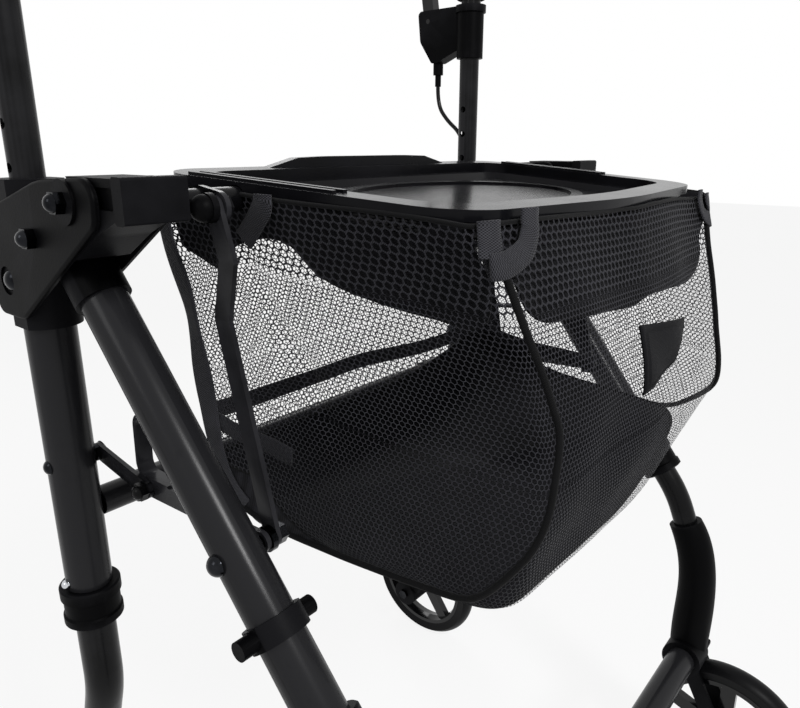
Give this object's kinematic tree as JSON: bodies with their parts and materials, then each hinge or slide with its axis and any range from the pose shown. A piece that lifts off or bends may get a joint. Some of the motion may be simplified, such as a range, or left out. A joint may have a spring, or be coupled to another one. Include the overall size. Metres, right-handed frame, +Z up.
{
  "type": "rollator",
  "caption": "Folding four-wheel rollator with sliding curved handles, squeeze brakes, swivelling front wheels, side spreaders and a lift-off tray over a mesh basket.",
  "frame": {"origin": "on the floor under the centre of the bounding box", "axes": "+Z up, front towards -Y, the user's left hand on +X"},
  "size_m": [0.5726, 0.585, 0.9518],
  "materials": {
    "black_plastic": "fine moulded texture",
    "frame_paint": "satin black",
    "bolt_steel": "polished",
    "black_paint": "satin",
    "tray_plastic": "satin",
    "mesh_fabric": "open woven mesh",
    "grip_rubber": "soft matte",
    "cable_jacket": "gloss jacket",
    "tyre": "glossy black",
    "rim_plastic": "gloss"
  },
  "bodies": {
    "rear_frame": {"rear_collars": "black_plastic", "rear_cross_tube": "frame_paint", "bracket_cores": "black_plastic", "bracket_inner_covers": "black_plastic", "frame_bolts": "bolt_steel", "rear_leg_left": "frame_paint", "rear_axle_bracket_left": "black_plastic", "bracket_cover_left": "black_plastic", "rear_leg_right": "frame_paint", "rear_axle_bracket_right": "black_plastic", "bracket_cover_right": "black_plastic"},
    "front_frame": {"front_collars": "black_plastic", "front_cross_tube": "frame_paint", "accessory_clip": "black_plastic", "link_bolts": "bolt_steel", "carrier_ring": "black_paint", "basket": "mesh_fabric", "front_leg_left": "frame_paint", "front_bracket_left": "black_plastic", "tray_arm_left": "black_plastic", "link_left": "black_paint", "front_leg_right": "frame_paint", "front_bracket_right": "black_plastic", "tray_arm_right": "black_plastic", "link_right": "black_paint"},
    "tray": {"tray": "tray_plastic"},
    "spreader_rear_left": {"spreader_rear_left": "black_paint"},
    "spreader_front_left": {"spreader_front_left": "black_paint"},
    "handle_left": {"handle_tube_left": "black_paint", "grip_left": "grip_rubber", "brake_housing_left": "black_plastic", "brake_cable_left": "cable_jacket"},
    "lever_left": {"brake_lever_left": "black_plastic"},
    "shoe_left": {"brake_shoe_left": "black_plastic"},
    "lock_knob_left": {"lock_knob_left": "black_plastic"},
    "castor_left": {"castor_fork_left": "black_plastic"},
    "front_wheel_left": {"front_tyre_left": "tyre", "front_rim_left": "rim_plastic"},
    "rear_wheel_left": {"rear_tyre_left": "tyre", "rear_rim_left": "rim_plastic"},
    "rear_snap_left": {"rear_snap_button_left": "bolt_steel"},
    "front_snap_left": {"front_snap_button_left": "bolt_steel"},
    "spreader_rear_right": {"spreader_rear_right": "black_paint"},
    "spreader_front_right": {"spreader_front_right": "black_paint"},
    "handle_right": {"handle_tube_right": "black_paint", "grip_right": "grip_rubber", "brake_housing_right": "black_plastic", "brake_cable_right": "cable_jacket"},
    "lever_right": {"brake_lever_right": "black_plastic"},
    "shoe_right": {"brake_shoe_right": "black_plastic"},
    "lock_knob_right": {"lock_knob_right": "black_plastic"},
    "castor_right": {"castor_fork_right": "black_plastic"},
    "front_wheel_right": {"front_tyre_right": "tyre", "front_rim_right": "rim_plastic"},
    "rear_wheel_right": {"rear_tyre_right": "tyre", "rear_rim_right": "rim_plastic"},
    "rear_snap_right": {"rear_snap_button_right": "bolt_steel"},
    "front_snap_right": {"front_snap_button_right": "bolt_steel"}
  },
  "joints": [
    {"name": "fold", "type": "hinge", "parent": "rear_frame", "child": "front_frame", "pos_m": [0, 0.0894, 0.64503], "axis": [1, 0, 0], "range_deg": [0, 16]},
    {"name": "tray_lift", "type": "slide", "parent": "front_frame", "child": "tray", "axis": [0, 0, 1], "range_m": [0, 0.06]},
    {"name": "spreader_rear_left", "type": "hinge", "parent": "rear_frame", "child": "spreader_rear_left", "pos_m": [0.2143, 0.135, 0.485], "axis": [1, 0, 0], "range_deg": [-56.97, 0]},
    {"name": "spreader_front_left", "type": "hinge", "parent": "front_frame", "child": "spreader_front_left", "pos_m": [0.2143, -0.04281, 0.481], "axis": [1, 0, 0], "range_deg": [0, 30]},
    {"name": "height_left", "type": "slide", "parent": "rear_frame", "child": "handle_left", "axis": [0, 0, 1], "range_m": [-0.0254, 0.0762]},
    {"name": "lever_left", "type": "hinge", "parent": "handle_left", "child": "lever_left", "pos_m": [0.238, 0.186, 0.826], "axis": [1, 0, 0], "range_deg": [0, 12], "stiffness_Nm_per_rad": 0.8},
    {"name": "shoe_left", "type": "hinge", "parent": "rear_frame", "child": "shoe_left", "pos_m": [0.238, 0.16111, 0.16284], "axis": [1, 0, 0], "range_deg": [0, 2]},
    {"name": "lock_knob_left", "type": "hinge", "parent": "rear_frame", "child": "lock_knob_left", "pos_m": [0.238, 0.1554, 0.637], "axis": [0, 1, 0], "range_deg": [0, 360]},
    {"name": "swivel_left", "type": "hinge", "parent": "front_frame", "child": "castor_left", "pos_m": [0.25811, -0.165, 0.1755], "axis": [0, 0, 1], "continuous": true},
    {"name": "front_wheel_left", "type": "hinge", "parent": "castor_left", "child": "front_wheel_left", "pos_m": [0.25811, -0.21, 0.0825], "axis": [1, 0, 0], "continuous": true},
    {"name": "rear_wheel_left", "type": "hinge", "parent": "rear_frame", "child": "rear_wheel_left", "pos_m": [0.269, 0.21, 0.0825], "axis": [1, 0, 0], "continuous": true},
    {"name": "rear_snap_left", "type": "slide", "parent": "rear_frame", "child": "rear_snap_left", "axis": [-1, 0, 0], "range_m": [0, 0.003], "stiffness_N_per_m": 600},
    {"name": "front_snap_left", "type": "slide", "parent": "front_frame", "child": "front_snap_left", "axis": [-1, 0, 0], "range_m": [0, 0.003], "stiffness_N_per_m": 600},
    {"name": "spreader_rear_right", "type": "hinge", "parent": "rear_frame", "child": "spreader_rear_right", "pos_m": [-0.2143, 0.135, 0.485], "axis": [1, 0, 0], "range_deg": [-56.97, 0]},
    {"name": "spreader_front_right", "type": "hinge", "parent": "front_frame", "child": "spreader_front_right", "pos_m": [-0.2143, -0.04281, 0.481], "axis": [1, 0, 0], "range_deg": [0, 30]},
    {"name": "height_right", "type": "slide", "parent": "rear_frame", "child": "handle_right", "axis": [0, 0, 1], "range_m": [-0.0254, 0.0762]},
    {"name": "lever_right", "type": "hinge", "parent": "handle_right", "child": "lever_right", "pos_m": [-0.238, 0.186, 0.826], "axis": [1, 0, 0], "range_deg": [0, 12], "stiffness_Nm_per_rad": 0.8},
    {"name": "shoe_right", "type": "hinge", "parent": "rear_frame", "child": "shoe_right", "pos_m": [-0.238, 0.16111, 0.16284], "axis": [1, 0, 0], "range_deg": [0, 2]},
    {"name": "lock_knob_right", "type": "hinge", "parent": "rear_frame", "child": "lock_knob_right", "pos_m": [-0.238, 0.1554, 0.637], "axis": [0, 1, 0], "range_deg": [0, 360]},
    {"name": "swivel_right", "type": "hinge", "parent": "front_frame", "child": "castor_right", "pos_m": [-0.25811, -0.165, 0.1755], "axis": [0, 0, 1], "continuous": true},
    {"name": "front_wheel_right", "type": "hinge", "parent": "castor_right", "child": "front_wheel_right", "pos_m": [-0.25811, -0.21, 0.0825], "axis": [1, 0, 0], "continuous": true},
    {"name": "rear_wheel_right", "type": "hinge", "parent": "rear_frame", "child": "rear_wheel_right", "pos_m": [-0.269, 0.21, 0.0825], "axis": [1, 0, 0], "continuous": true},
    {"name": "rear_snap_right", "type": "slide", "parent": "rear_frame", "child": "rear_snap_right", "axis": [1, 0, 0], "range_m": [0, 0.003], "stiffness_N_per_m": 600},
    {"name": "front_snap_right", "type": "slide", "parent": "front_frame", "child": "front_snap_right", "axis": [1, 0, 0], "range_m": [0, 0.003], "stiffness_N_per_m": 600}
  ],
  "couplings": [
    {"joint": "spreader_rear_left", "follows": "fold", "ratio": -3.5475},
    {"joint": "spreader_front_left", "follows": "fold", "ratio": 1.8653},
    {"joint": "shoe_left", "follows": "lever_left", "ratio": 0.16667},
    {"joint": "spreader_rear_right", "follows": "fold", "ratio": -3.5475},
    {"joint": "spreader_front_right", "follows": "fold", "ratio": 1.8653},
    {"joint": "shoe_right", "follows": "lever_right", "ratio": 0.16667}
  ]
}
